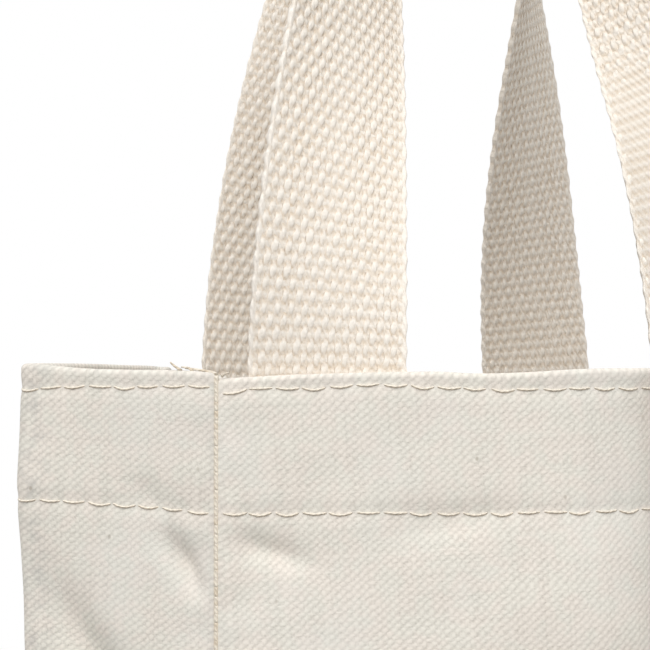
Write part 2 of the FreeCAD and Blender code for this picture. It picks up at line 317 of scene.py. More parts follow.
def wallRows():
    half = (bag["cloth"] + bag["foldGap"]) / 2.0
    low = bag["cloth"] / 2.0 + half + bag["layGap"]
    high = bag["height"] - bag["cloth"] / 2.0 - half
    hemStart = bag["height"] - wall["hemZone"]
    parts = []
    z = np.linspace(bag["allowance"], low, wall["lowCount"], endpoint=False)
    parts.append(("lowInner", z, np.full_like(z, 2.0 * half)))
    a = np.linspace(np.pi, 0.0, wall["lowCount"], endpoint=False)
    parts.append(("lowFold", low - half * np.sin(a), half * (1.0 - np.cos(a))))
    z = np.concatenate([np.linspace(low, hemStart, int((hemStart - low) / wall["lowStep"]), endpoint=False),
                        np.linspace(hemStart, high, int((high - hemStart) / wall["hemStep"]))])
    parts.append(("outer", z, np.zeros_like(z)))
    a = np.linspace(0.0, np.pi, wall["rimCount"])[1:-1]
    parts.append(("rim", high + half * np.sin(a), half * (1.0 - np.cos(a))))
    z = np.linspace(high, bag["height"] - bag["hem"], wall["innerCount"])
    parts.append(("inner", z, np.full_like(z, 2.0 * half)))
    spans = {}
    count = 0
    for name, z, depth in parts:
        spans[name] = (count, count + len(z))
        count += len(z)
    rowZ = np.concatenate([p[1] for p in parts])
    depth = np.concatenate([p[2] for p in parts])
    rowV = np.concatenate([[0.0], np.cumsum(np.hypot(np.diff(rowZ), np.diff(depth)))])
    return spans, rowZ, depth, rowV


def stitchDrop(spec, row, x):
    return smoothCurve(spec.get(row + "Drop", thread["hemDrop"]), x)


def wearAndShadeBand(distance, band):
    amount, reach = band
    return amount * np.exp(-(distance / reach) ** 2)


def wallPush(spec, across, x, z, edge, width):
    # How far the cloth stands out from the flat wall
    free = ease(edge / wall["edgeCalm"])
    bowUp = np.sin(np.pi * np.clip(z / (bag["height"] - bag["hem"]), 0, 1))
    bowAcross = np.sin(np.pi * np.clip(x / width, 0, 1))
    push = spec["bow"] * bag["wallBow"] * bowUp * bowAcross
    if "mouthCurve" in spec:
        grown = ease((z - wall["curveStart"]) / wall["curveReach"])
        push = push + smoothCurve(spec["mouthCurve"], x) * grown
    for cx, cz, tilt, long, short, amount in spec["dents"]:
        t = math.radians(tilt)
        along = (x - cx) * math.cos(t) + (z - cz) * math.sin(t)
        aside = -(x - cx) * math.sin(t) + (z - cz) * math.cos(t)
        push = push + amount * np.exp(-(along / long) ** 2 - (aside / short) ** 2) * free
    calm = 1.0 - wall["hemCalm"] * ease((z - wall["calmStart"]) / wall["calmReach"])
    low = ease(z / wall["floorCalm"])
    broad = softWaves(spec["seed"], *wall["broadWaves"])(x, z)
    push = push + broad * spec.get("waves", wall["broadHeight"]) * free * calm * low
    small = softWaves(spec["seed"] + 20, *wall["smallWaves"])(x, z)
    push = push + small * wall["smallHeight"] * free * low
    stray = softWaves(spec["seed"] + 40, *wall["puckerWaves"])(x * wall["puckerSlant"], z)
    pucker = np.sin(2 * np.pi * z / wall["puckerPitch"] + wall["puckerWander"] * stray)
    pucker = wall["puckerHeight"] * pucker * np.exp(-edge / wall["puckerReach"])
    push = push + pucker * (edge > wall["puckerStart"])
    inHem = (z > bag["height"] - bag["hem"] - wall["rowRoom"])
    beat = 1.0 + wall["rowBeat"] * np.cos(2 * np.pi * x / thread["pitch"])
    for row, wide in wall["rowWidth"].items():
        gap = z - (bag["height"] - stitchDrop(spec, row, across)[None, :])
        pull = wall["rowPull"] * beat * np.exp(-(gap / wide) ** 2)
        push = push - pull * inHem * ease(edge / wall["rowFade"] + wall["rowLeast"])
    return push * (edge > 0.0)


def wallWearAndShade(spec, x, z, edge, crease):
    wearAndShade = wearAndShadeBand(bag["height"] - z, wall["rimWear"]) + wearAndShadeBand(edge, wall["seamWear"])
    wearAndShade = wearAndShade + wearAndShadeBand(z, wall["floorWear"])
    if "leftFold" in spec["stops"]:
        # painted shade along the folded crease, where the cloth turns away from the light
        wearAndShade = wearAndShade + wearAndShadeBand(x - crease, wall["creaseShade"]) * ease(z / wall["creaseShadeFade"])
    return np.clip(wearAndShade, 0.0, 1.0)


def buildWall(name, spec):
    spans, rowZ, depth, rowV = wallRows()
    stops = [outlinePoint(s, rowZ) for s in spec["stops"]]
    first, last = spec["stops"][0], spec["stops"][-1]
    line = [stops[0] + allowanceWay(first, rowZ) * bag["allowance"]] + stops
    line += [stops[-1] + allowanceWay(last, rowZ) * bag["allowance"]]
    line = offsetLine(line, depth + bag["cloth"] / 2.0 + bag["layGap"])
    cuts = [bag["seamTurn"], *spec["cuts"], bag["seamTurn"]]
    lengths = [float(np.linalg.norm(stops[k + 1][-1] - stops[k][-1])) for k in range(len(stops) - 1)]
    runs = [wall["flangeCount"]] + [int(n / wall["acrossStep"]) for n in lengths] + [wall["flangeCount"]]
    turns = [int(2 * c / wall["acrossStep"]) for c in spec["cuts"]]
    turns = [wall["turnCount"]] + turns + [wall["turnCount"]]
    flat = roundedLine(line, cuts, runs, turns)
    rimRow = spans["outer"][1] - 1
    across = runLength(flat[rimRow])
    startColumn = wall["flangeCount"] + wall["turnCount"] // 2
    endColumn = flat.shape[1] - 1 - wall["flangeCount"] - wall["turnCount"] // 2
    across = across - across[startColumn]
    width = across[endColumn]
    outward = -leftOf(unit(np.gradient(flat, axis=1)))
    x = np.broadcast_to(across[None, :], flat.shape[:2])
    z = np.broadcast_to(rowZ[:, None], flat.shape[:2])
    edge = np.minimum(x, width - x)
    push = wallPush(spec, across, x, z, edge, width)
    points = np.concatenate([flat + outward * push[..., None], z[..., None]], axis=-1)
    rise = smoothCurve(spec["rimRise"], across)[None, :] * ease((z - wall["riseStart"]) / wall["riseReach"])
    points[..., 2] += rise
    if name == "front":  # the end of the seam allowance stands a little proud at the pinched corner
        proud = wall["proud"]
        beyond = ease(-across / proud["reach"])[None, :]
        points[..., 2] += proud["height"] * beyond * ease((z - proud["start"]) / proud["rise"])
    turn = math.radians(spec["grainTurn"])  # the cut is a little off the grain
    v = rowV[:, None] + rise
    weave = np.stack([x * math.cos(turn) + v * math.sin(turn), v * math.cos(turn) - x * math.sin(turn),
                      np.full(x.shape, float(spec["seed"]))], axis=-1)
    wearAndShade = wallWearAndShade(spec, x, z, edge, lengths[0])
    normal = unit(np.cross(np.gradient(points, axis=1), np.gradient(points, axis=0)))
    shape = dict(spans=spans, rowZ=rowZ, across=across, width=width, points=points, normal=normal)
    piece = clothGrid(name + "WallCanvas", points, weave, wearAndShade)
    thicken(piece, bag["cloth"])
    print(name, "wall: width", round(float(width), 1), "points", points.shape[:2])
    return piece, shape


def onCloth(shape, layer, x, z, lift):
    # A point at distance lift from the face of one layer of a wall, at x across and height z
    begin, end = shape["spans"][layer]
    rows = shape["rowZ"][begin:end]
    order = np.arange(begin, end, dtype=float)
    if rows[0] > rows[-1]:
        rows, order = rows[::-1], order[::-1]
    r = np.interp(z, rows, order)
    c = np.interp(x, shape["across"], np.arange(len(shape["across"]), dtype=float))
    r0 = np.clip(np.floor(r).astype(int), begin, end - 2)
    c0 = np.clip(np.floor(c).astype(int), 0, len(shape["across"]) - 2)
    fr, fc = (r - r0)[..., None], (c - c0)[..., None]

    def mixed(grid):
        low = grid[r0, c0] * (1 - fc) + grid[r0, c0 + 1] * fc
        high = grid[r0 + 1, c0] * (1 - fc) + grid[r0 + 1, c0 + 1] * fc
        return low * (1 - fr) + high * fr
    normal = unit(mixed(shape["normal"]))
    return mixed(shape["points"]) + normal * (np.asarray(lift) + bag["cloth"] / 2.0)[..., None], normal


# Sewing: one stitch is modelled once and laid out along each row

thread = dict(
    radius=0.17, length=4.35, pitch=4.25, sides=8, rings=9, margin=0.1,
    lift=0.08, bury=0.3,              # height of a stitch over the cloth, and how deep its ends go in
    rounding=0.25,                    # smaller dips more steeply at the ends
    sag=0.4, sagSpread=(0.3, 1.6),
    placeJitter=0.15, lengthJitter=(-0.35, 0.15), tilt=0.16,
    shortest=0.5,                     # a stitch cut shorter than this share is left out
    endShare=0.8,                     # radius at the ends, as a share
    flatten=1.1,
    tailLift=2.1, tailRoom=1.5,       # inside stitches lie on the strap tails
    hemDrop=((0, 22.6), (110, 22.6)))  # depth of the lower row, on a wall with no curve of its own


def capFaces(loop):
    # Closes an even ring of points with a strip of four-sided faces
    last = len(loop) - 1
    return [[loop[k], loop[k + 1], loop[last - k - 1], loop[last - k]] for k in range(len(loop) // 2 - 1)]


def threadBlank(sides, rings):
    # A grid primitive rolled into a tube and closed along its joint
    deselectAll()
    bpy.ops.mesh.primitive_grid_add(x_subdivisions=sides, y_subdivisions=rings - 1, size=2.0)
    blank = bpy.context.object
    spot = placesOf(blank.data)
    turn = (spot[:, 0] + 1.0) * np.pi
    rolled = np.stack([np.cos(turn), np.sin(turn), spot[:, 1]], axis=-1)
    blank.data.vertices.foreach_set("co", rolled.ravel())
    editAll(blank, bpy.ops.mesh.remove_doubles, threshold=0.0001)
    spot = placesOf(blank.data)
    faces = [list(p.vertices) for p in blank.data.polygons]
    bpy.data.meshes.remove(blank.data)
    ring = np.rint((spot[:, 2] + 1) / 2 * (rings - 1)).astype(int)
    for end, way in ((0, -1), (rings - 1, 1)):
        loop = np.flatnonzero(ring == end)
        faces += capFaces(loop[np.argsort(np.arctan2(spot[loop, 1], spot[loop, 0]))][::way])
    return dict(spot=spot, faces=np.array(faces), ring=ring)


def layThreads(name, blank, paths, normals, wide, thick, lift=None):
    # paths is threads x rings x 3; each copy of the blank follows one path
    count = len(paths)
    ahead = unit(np.gradient(paths, axis=1))
    side = unit(np.cross(normals, ahead))
    up = np.cross(ahead, side)
    ring = blank["ring"]
    spot = blank["spot"]
    offset = side[:, ring] * spot[None, :, :1] * wide[:, ring][..., None]
    offset = offset + up[:, ring] * spot[None, :, 1:2] * thick[:, ring][..., None]
    points = (paths[:, ring] + offset).reshape(-1, 3)
    faces = (blank["faces"][None] + (np.arange(count) * len(spot))[:, None, None]).reshape(-1, 4)
    piece = newPiece(name, points, faces.tolist())
    run = runLength(paths)[:, ring]
    turn = np.arctan2(spot[:, 1], spot[:, 0]) / (2 * np.pi)
    number = np.arange(count)[:, None]
    weave = np.stack([np.broadcast_to(turn, run.shape), run, np.broadcast_to(number, run.shape)], axis=-1)
    hold(piece.data, "weave", weave.reshape(-1, 3))
    # height that the webbing finish turns into painted shade on the low parts
    if lift is not None:
        hold(piece.data, "lift", lift.ravel())
    return piece


def sewRow(name, shape, spec, row, tails, seed):
    # Outside stitches and the inside ones between them, which lie on the strap tails where there are any
    rng = np.random.default_rng(seed)
    t = np.linspace(0.0, 1.0, thread["rings"])
    clear = shape["width"] - 2.0 * thread["margin"]
    count = int(clear / thread["pitch"])
    pitch = clear / count
    jitter = rng.uniform(-thread["placeJitter"], thread["placeJitter"], count)
    starts = thread["margin"] + pitch * np.arange(count) + jitter
    paths, normals = [], []
    for layer, shift in (("outer", 0.0), ("inner", pitch / 2.0)):
        for start in starts:
            span = thread["length"] + rng.uniform(*thread["lengthJitter"])
            x = start + shift + span * t
            if x[0] < 0.0 or x[-1] > shape["width"]:
                x = np.clip(x, thread["margin"], shape["width"] - thread["margin"])
            if x[-1] - x[0] < thread["shortest"] * thread["length"]:
                continue
            tilt = rng.uniform(-thread["tilt"], thread["tilt"])
            sag = thread["sag"] * rng.uniform(*thread["sagSpread"])
            z = bag["height"] - stitchDrop(spec, row, x) - sag * np.sin(np.pi * t) + tilt * (t - 0.5)
            arch = np.sin(np.pi * t) ** thread["rounding"]
            lift = -thread["bury"] + (thread["bury"] + thread["lift"]) * arch
            room = thread["tailRoom"]
            if layer == "inner" and any(a - room < x[0] and x[-1] < b + room for a, b in tails):
                lift = lift + thread["tailLift"]
            place, normal = onCloth(shape, layer, x, z, lift)
            paths.append(place)
            normals.append(normal)
    paths, normals = np.array(paths), np.array(normals)
    thin = thread["radius"] * (thread["endShare"] + (1.0 - thread["endShare"]) * np.sin(np.pi * t))
    radius = np.broadcast_to(thin, paths.shape[:2])
    return layThreads(name, stitchBlank, paths, normals, radius * thread["flatten"], radius)


stitchBlank = threadBlank(thread["sides"], thread["rings"])
# where the strap tails lie, across each wall
handleSpans = dict(front=((5.5, 30.9), (73.1, 98.5)), back=((8.0, 33.4), (70.6, 96.0)), left=(), right=())
shapes = {}
wallPieces = {}
rowPieces = {}
for number, (name, spec) in enumerate(walls.items()):
    wallPieces[name], shapes[name] = buildWall(name, spec)
    for row in ("top", "hem"):
        rowPieces[name, row] = sewRow(name + row.capitalize() + "Row", shapes[name], spec, row,
                                      handleSpans[name], 100 + 10 * number + (row == "hem"))
print("walls and hem sewing done")


# Base: a sheet whose edges turn up inside the walls

base = dict(
    inset=2.6, flange=7.0, turn=1.6, taper=12.0, step=1.6, turnCount=5, seed=31,
    sag=0.35, waves=(8, 25.0, 60.0),
    quiet=20.0,           # how near to its edges the base lies flat
    wearAndShade=0.7,
    merge=0.02)           # the edges run out to nothing at the corners, where their points are merged


def foldedAxis(half):
    # Places along one direction: up the near edge, across and up the far edge
    flatHalf = half - base["turn"]
    count = base["turnCount"]
    a = np.linspace(np.pi / 2, 0.0, count)
    upEdge = np.linspace(base["flange"], base["turn"], count, endpoint=False)
    place = [np.full(count, -half), -flatHalf - base["turn"] * np.sin(a)]
    rise = [upEdge, base["turn"] * (1 - np.cos(a))]
    inner = np.linspace(-flatHalf, flatHalf, int(2 * flatHalf / base["step"]))[1:-1]
    place += [inner, flatHalf + base["turn"] * np.sin(a[::-1]), np.full(count, half)]
    rise += [np.zeros_like(inner), base["turn"] * (1 - np.cos(a[::-1])), upEdge[::-1]]
    return np.concatenate(place), np.concatenate(rise)


def buildBase():
    halfX, halfY = np.array(baseOutline["backRight"]) - base["inset"]
    px, zx = foldedAxis(halfX)
    py, zy = foldedAxis(halfY)
    x, y = np.meshgrid(px, py)
    upX = zx[None, :] * ease((halfY - np.abs(y)) / base["taper"])
    upY = zy[:, None] * ease((halfX - np.abs(x)) / base["taper"])
    quiet = ease((halfX - np.abs(x)) / base["quiet"]) * ease((halfY - np.abs(y)) / base["quiet"])
    sag = base["sag"] * (1.0 + softWaves(base["seed"], *base["waves"])(x, y)) * quiet
    z = bag["cloth"] / 2.0 + bag["layGap"] + upX + upY + np.clip(sag, 0.0, None)
    points = np.stack([x, y, z], axis=-1)
    weave = np.stack([x, y, np.full_like(x, base["seed"])], axis=-1)
    wearAndShade = base["wearAndShade"] * np.exp(-(z - bag["cloth"] / 2.0)) * (1.0 - quiet)
    piece = clothGrid("baseCanvas", points, weave, wearAndShade)
    editAll(piece, bpy.ops.mesh.remove_doubles, threshold=base["merge"] * mm)
    thicken(piece, bag["cloth"])
    return piece


basePiece = buildBase()
print("base done")


# Seam sewing: short stitches in the groove of each corner and round the base

seam = dict(
    pitch=1.4, length=1.8, radius=0.34, rings=5, jitter=0.15, seed=7,
    depth=0.53, dip=0.03,             # in a corner's groove: at the middle of a stitch, and more at its ends
    lowEnd=4.0, highEnd=279.2,
    baseEnd=4.0, baseInset=1.75, baseDip=0.4,
    looseRadius=(0.26, 0.13),
    # each loose end runs from one place to another with a bend: along the rim from the corner, inward, height
    looseEnds=(((0.2, 0.9, 279.4), (4.6, 1.2, 280.1), (0.0, 0.0, 0.2)),
               ((1.6, 1.5, 279.6), (5.6, 0.9, 280.3), (0.0, 0.0, 0.15)),
               ((6.2, 0.9, 279.9), (8.0, 0.5, 281.3), (0.3, 0.0, 0.1)),
               ((4.4, 1.1, 279.8), (6.2, 0.6, 280.5), (-0.3, 0.0, 0.2)),
               ((-0.6, 0.8, 279.0), (-2.0, 0.5, 279.6), (0.0, 0.0, 0.2))))
seamBlank = threadBlank(thread["sides"], seam["rings"])


def sewCorner(name, corner):
    rng = np.random.default_rng(len(name) * seam["seed"])
    t = np.linspace(-0.5, 0.5, seam["rings"])
    middle = np.arange(seam["lowEnd"], seam["highEnd"], seam["pitch"])
    jitter = rng.uniform(-seam["jitter"], seam["jitter"], (len(middle), 1))
    z = middle[:, None] + seam["length"] * t[None, :] + jitter
    way = allowanceWay(corner, z)
    sink = seam["depth"] + seam["dip"] * (2 * np.abs(t)) ** 3
    spot = outlinePoint(corner, z) + way * sink[None, :, None]
    paths = np.concatenate([spot, z[..., None]], axis=-1)
    normals = np.concatenate([-way, np.zeros_like(z)[..., None]], axis=-1)
    radius = np.full(z.shape, seam["radius"])
    if corner == "frontLeft":  # a few loose ends at the top of this seam
        here = np.array(mouthOutline[corner])
        along = unit(np.array(mouthOutline["leftFold"]) - here)
        inside = -leftOf(along)
        s = np.linspace(0.0, 1.0, seam["rings"])[:, None]
        for start, end, bend in seam["looseEnds"]:
            a, b = np.array(start), np.array(end)
            run = a + (b - a) * s + np.array(bend) * np.sin(np.pi * s)
            spot = here + along * run[:, :1] + inside * run[:, 1:2]
            paths = np.concatenate([paths, np.concatenate([spot, run[:, 2:]], axis=1)[None]])
            normals = np.concatenate([normals, np.tile([along[1], -along[0], 0.0], (1, seam["rings"], 1))])
            radius = np.concatenate([radius, np.linspace(*seam["looseRadius"], seam["rings"])[None]])
    return layThreads(name, seamBlank, paths, normals, radius, radius)


def sewBaseEdge(name, first, last):
    t = np.linspace(-0.5, 0.5, seam["rings"])
    a, b = np.array(baseOutline[first]), np.array(baseOutline[last])
    length = np.linalg.norm(b - a)
    way = (b - a) / length
    middle = np.arange(seam["baseEnd"], length - seam["baseEnd"], seam["pitch"])
    along = middle[:, None] + seam["length"] * t[None, :]
    spot = a + way * along[..., None] + leftOf(way) * seam["baseInset"]
    z = seam["radius"] + bag["layGap"] + seam["baseDip"] * (2 * np.abs(t)) ** 3
    z = np.broadcast_to(z, along.shape)
    paths = np.concatenate([spot, z[..., None]], axis=-1)
    normals = np.zeros_like(paths)
    normals[..., 2] = -1.0
    radius = np.full(along.shape, seam["radius"])
    return layThreads(name, seamBlank, paths, normals, radius, radius)


cornerPieces = {c: sewCorner(c + "SeamSewing", c) for c in corners}
edgePieces = {}
for name, spec in walls.items():
    edgePieces[name] = sewBaseEdge(name + "BaseSewing", spec["stops"][0], spec["stops"][-1])
print("seam sewing done")


# Handles: each is one length of webbing, woven from warp yarns over a core of weft

webbing = dict(
    width=25.4, yarns=22, rowPitch=1.97, step=0.58, sides=6, tail=24.0,
    edgeRoom=0.8,                     # room at the edges, in yarns
    tailCount=40, legCount=160, archCount=90,
    smoothing=11,                     # steps to each side over which the centre line is evened out
    inset=2.65,                       # the tails' middle, inward from the mouth outline
    overRim=0.3,
    freeStart=284.0, freeReach=60.0,  # height where the loop starts to leave the wall's curve, and reach
    loopReach=40.0,                   # length over which the loop takes on its hollow
    cupRest=0.33,                     # where the hollow is nil, as a share of the half width, squared
    wave=0.14, wide=0.72, thick=0.34, slant=0.19, jitter=0.04,
    rounding=1.4,                     # larger narrows each float
    wander=0.35, wanderStep=0.7, wanderWaves=(6, 14.0, 40.0),
    swell=0.10, swellStep=9.0, swellWaves=(8, 3.0, 12.0),
    wideShare=(0.86, 0.14),           # of a yarn's width and thickness: between rows, and more at a row
    thickShare=(0.66, 0.34),
    weftLow=0.12, weftHigh=0.30,      # half thickness of the weft between rows and at a row
    weftSpread=3.0, weftMark=77.0,
    selvage=0.62, bead=0.12,          # half thickness at the edges, and how far each weft turn stands out
    # the last pair paints shade between the selvage beads and light on them, by how far each stands out
    beadShare=(0.86, 0.14), beadSlant=1.2, beadPaintedShade=(0.34, 0.12),
    drift=1.2, driftWaves=(6, 9.0, 30.0),
    # upper half of the weft's outline: place across, and how far it is selvage there
    section=((-12.65, 0.5), (-12.58, 0.85), (-12.35, 1.0), (-12.1, 0.7), (-11.8, 0.0), (0.0, 0.0),
             (11.8, 0.0), (12.1, 0.7), (12.35, 1.0), (12.58, 0.85), (12.65, 0.5)))
handles = dict(
    front=dict(wall="front", left="frontLeft", right="frontRight", half=34.2, lean=24.64, rise=140.0,
               radius=19.0, shift=-3.7, straight=0.2, seed=51, cup=0.4, turn=(0.8, 0.2, 0.0)),
    back=dict(wall="back", left="backLeft", right="backRight", half=31.3, lean=24.98, rise=140.0,
              radius=18.0, shift=-1.6, straight=0.7, seed=52, cup=0.4, turn=(0.5, 0.1, 0.4)))


def handleLine(spec):
    # Centre line and width direction from the left tail, over the arch, to the right tail
    left, right = np.array(mouthOutline[spec["left"]]), np.array(mouthOutline[spec["right"]])
    along = unit(right - left)
    inward = leftOf(along)
    if inward @ (left + right) > 0:
        inward = -inward
    middle = (left + right) / 2.0 + inward * webbing["inset"]
    top = spec["rise"] - spec["radius"]
    over = webbing["overRim"]
    tailEnd = bag["height"] - webbing["tail"]
    places, edges = [], []
    for z in np.linspace(tailEnd, bag["height"], webbing["tailCount"], endpoint=False):
        places.append((-spec["half"], 0.0, z))
        edges.append((1.0, 0.0))
    legs = []
    for u in np.linspace(0.0, 1.0, webbing["legCount"], endpoint=False):
        even, late, soft = spec["turn"]
        a = np.pi / 2 * (even * u + late * u ** 3 + soft * float(ease(u)))
        legs.append((u, a))
    for side in (-1, 1):
        for u, a in (legs if side < 0 else legs[::-1]):
            head = spec["shift"] + side * spec["radius"]
            foot = side * spec["half"]
            run = foot + (head - foot) * (spec["straight"] * u + (1 - spec["straight"]) * float(ease(u)))
            places.append((run, spec["lean"] * float(ease(u)), bag["height"] + over + (top - over) * u))
            edges.append((-side * math.cos(a), math.sin(a)))
        if side < 0:
            for t in np.linspace(0.0, np.pi, webbing["archCount"]):
                places.append((spec["shift"] - spec["radius"] * math.cos(t), spec["lean"],
                               bag["height"] + top + spec["radius"] * math.sin(t)))
                edges.append((0.0, 1.0))
    for z in np.linspace(bag["height"], tailEnd, webbing["tailCount"]):
        places.append((spec["half"], 0.0, z))
        edges.append((-1.0, 0.0))
    places, edges = np.array(places), np.array(edges)
    flat = middle + along * places[:, :1] + inward * places[:, 1:2]
    line = np.concatenate([flat, places[:, 2:]], axis=1)
    edge = np.concatenate([along * edges[:, :1] + inward * edges[:, 1:], np.zeros((len(edges), 1))], axis=1)
    run = runLength(line)
    count = int(run[-1] / webbing["step"])
    even = np.linspace(0.0, run[-1], count)
    line = np.stack([np.interp(even, run, line[:, k]) for k in range(3)], axis=-1)
    edge = np.stack([np.interp(even, run, edge[:, k]) for k in range(3)], axis=-1)
    reach = webbing["smoothing"]
    window = np.hanning(2 * reach + 1)
    window = window / window.sum()
    inner = slice(reach + 1, -reach - 1)
    for grid in (line, edge):
        padded = np.concatenate([np.repeat(grid[:1], reach, 0), grid, np.repeat(grid[-1:], reach, 0)])
        for k in range(3):
            smooth = np.convolve(padded[:, k], window, mode="valid")
            grid[inner, k] = smooth[inner]
    ahead = unit(np.gradient(line, axis=0))
    edge = unit(edge - (edge * ahead).sum(1, keepdims=True) * ahead)
    face = np.cross(edge, ahead)
    return even, line, edge, face


def wallShift(spec, points):
    # The sewn ends follow the curve of the wall's mouth, and the loop comes free of it
    left, right = np.array(mouthOutline[spec["left"]]), np.array(mouthOutline[spec["right"]])
    curve = walls[spec["wall"]].get("mouthCurve", ((0, 0), (110, 0)))
    along = unit(right - left)
    place = (points[..., :2] - left) @ along
    freed = ease((points[..., 2] - webbing["freeStart"]) / webbing["freeReach"])
    amount = smoothCurve(curve, place) * (1.0 - freed)
    outward = np.array([along[1], -along[0], 0.0])
    return outward * amount[..., None]


def onStrap(spec, line, edge, face, inLoop, aside, level):
    # A place on the strap: aside along its width, level off its middle; the loop is a little hollow across
    hollow = -spec["cup"] * ((aside / (webbing["width"] / 2.0)) ** 2 - webbing["cupRest"]) * inLoop
    points = line + edge * aside[..., None] + face * (level + hollow)[..., None]
    return points + wallShift(spec, points)


def weaveWarp(name, spec, even, line, edge, face, inLoop):
    rng = np.random.default_rng(spec["seed"])
    yarns = webbing["yarns"]
    pitch = webbing["width"] / (yarns + webbing["edgeRoom"])
    number = np.arange(yarns)[:, None]
    place = (number - (yarns - 1) / 2.0) * pitch
    phase = np.pi * (even[None, :] / webbing["rowPitch"] + number)
    wander = softWaves(spec["seed"], *webbing["wanderWaves"])
    phase = phase + webbing["wander"] * wander(number * webbing["wanderStep"], even[None, :])
    over = np.sign(np.cos(phase)) * np.abs(np.cos(phase)) ** webbing["rounding"]
    uneven = softWaves(spec["seed"] + 5, *webbing["swellWaves"])
    swell = 1.0 + webbing["swell"] * uneven(number * webbing["swellStep"], even[None, :])
    jitter = rng.uniform(-webbing["jitter"], webbing["jitter"], (yarns, 1))
    aside = place + webbing["slant"] * np.sin(phase) + jitter
    level = webbing["wave"] * over * swell
    paths = onStrap(spec, line[None], edge[None], face[None], inLoop[None], aside, level)
    normals = np.broadcast_to(face[None], paths.shape)
    least, more = webbing["wideShare"]
    wide = webbing["wide"] * (least + more * np.abs(over)) * swell
    least, more = webbing["thickShare"]
    thick = webbing["thick"] * (least + more * np.abs(over)) * np.sqrt(swell)
    blank = threadBlank(webbing["sides"], len(even))
    ring, spot = blank["ring"], blank["spot"]
    # height off the strap's middle: the finish paints shade on the low parts
    high = np.abs(level[:, ring] + thick[:, ring] * spot[:, 1])
    return layThreads(name, blank, paths, normals, wide, thick, high)


def weaveWeft(name, spec, even, line, edge, face, inLoop):
    # Thin under the yarns, ridged at every row, and turning back in a bead at the two selvages
    rows = np.cos(np.pi * even / webbing["rowPitch"])[:, None] ** 2
    across, share = np.array(webbing["section"]).T[:, None, :]
    drift = webbing["drift"] * softWaves(spec["seed"] + 9, *webbing["driftWaves"])(0.0, even)[:, None]
    bead = np.cos(np.pi * even[:, None] / webbing["rowPitch"] + drift + np.where(across > 0, np.pi, 0.0)
                  + across * webbing["beadSlant"])
    inner = webbing["weftLow"] + (webbing["weftHigh"] - webbing["weftLow"]) * rows
    least, more = webbing["beadShare"]
    half = inner * (1.0 - share) + share * webbing["selvage"] * (least + more * bead)
    out = across + np.sign(across) * webbing["bead"] * bead * (share > 0.0)
    side = np.concatenate([out, out[:, ::-1]], axis=1)
    rise = np.concatenate([half, -half[:, ::-1]], axis=1)
    core = onStrap(spec, line[:, None], edge[:, None], face[:, None], inLoop[:, None], side, rise)
    count, ringCount = side.shape
    index = np.arange(count * ringCount).reshape(count, ringCount)
    following = np.roll(index, -1, 1)
    faces = np.stack([index[:-1], following[:-1], following[1:], index[1:]], axis=-1).reshape(-1, 4).tolist()
    faces += capFaces(index[0].tolist()) + capFaces(index[-1].tolist())
    weft = newPiece(name, core.reshape(-1, 3), faces)
    run = np.broadcast_to(even[:, None], side.shape)
    weave = np.stack([side / webbing["weftSpread"], run, np.full(side.shape, webbing["weftMark"])], axis=-1)
    hold(weft.data, "weave", weave.reshape(-1, 3))
    # the weft's colour follows its height: painted shade on the low weft and between the beads
    beadShadeMiddle, change = webbing["beadPaintedShade"]
    paintedShade = np.where(share > 0.0, beadShadeMiddle + change * bead, inner)
    hold(weft.data, "lift", np.concatenate([paintedShade, paintedShade[:, ::-1]], axis=1).ravel())
    editAll(weft, bpy.ops.mesh.normals_make_consistent, inside=False)
    return weft


def weaveHandle(name, spec):
    even, line, edge, face = handleLine(spec)
    total = even[-1]
    reach = webbing["loopReach"]
    inLoop = ease((even - webbing["tail"]) / reach) * ease((total - webbing["tail"] - even) / reach)
    warp = weaveWarp(name, spec, even, line, edge, face, inLoop)
    weft = weaveWeft(name + "Weft", spec, even, line, edge, face, inLoop)
    deselectAll()
    weft.select_set(True)
    warp.select_set(True)
    bpy.context.view_layer.objects.active = warp
    bpy.ops.object.join()
    print(name, "length", round(float(total), 1), "faces", len(warp.data.polygons))
    return warp


handlePieces = {n: weaveHandle(n + "HandleWebbing", spec) for n, spec in handles.items()}


# Finishes

class Signal:
    def __init__(self, finish, node, socket):
        self.finish = finish
        self.node = node
        self.socket = socket

    def calc(self, operation, *values):
        return self.finish.add("ShaderNodeMath", {"operation": operation}, dict(enumerate(values)))

    def pick(self, name):
        return Signal(self.finish, self.node, self.node.outputs[name])

    def __add__(self, other):
        return self.calc("ADD", self, other)

    def __radd__(self, other):
        return self.calc("ADD", other, self)

    def __sub__(self, other):
        return self.calc("SUBTRACT", self, other)

    def __rsub__(self, other):
        return self.calc("SUBTRACT", other, self)

    def __mul__(self, other):
        return self.calc("MULTIPLY", self, other)

    def __rmul__(self, other):
        return self.calc("MULTIPLY", other, self)

    def __pow__(self, other):
        return self.calc("POWER", self, other)

    def cosine(self):
        return self.calc("COSINE", self)

    def atLeast(self, other):
        return self.calc("MAXIMUM", self, other)

    def atMost(self, other):
        return self.calc("MINIMUM", self, other)


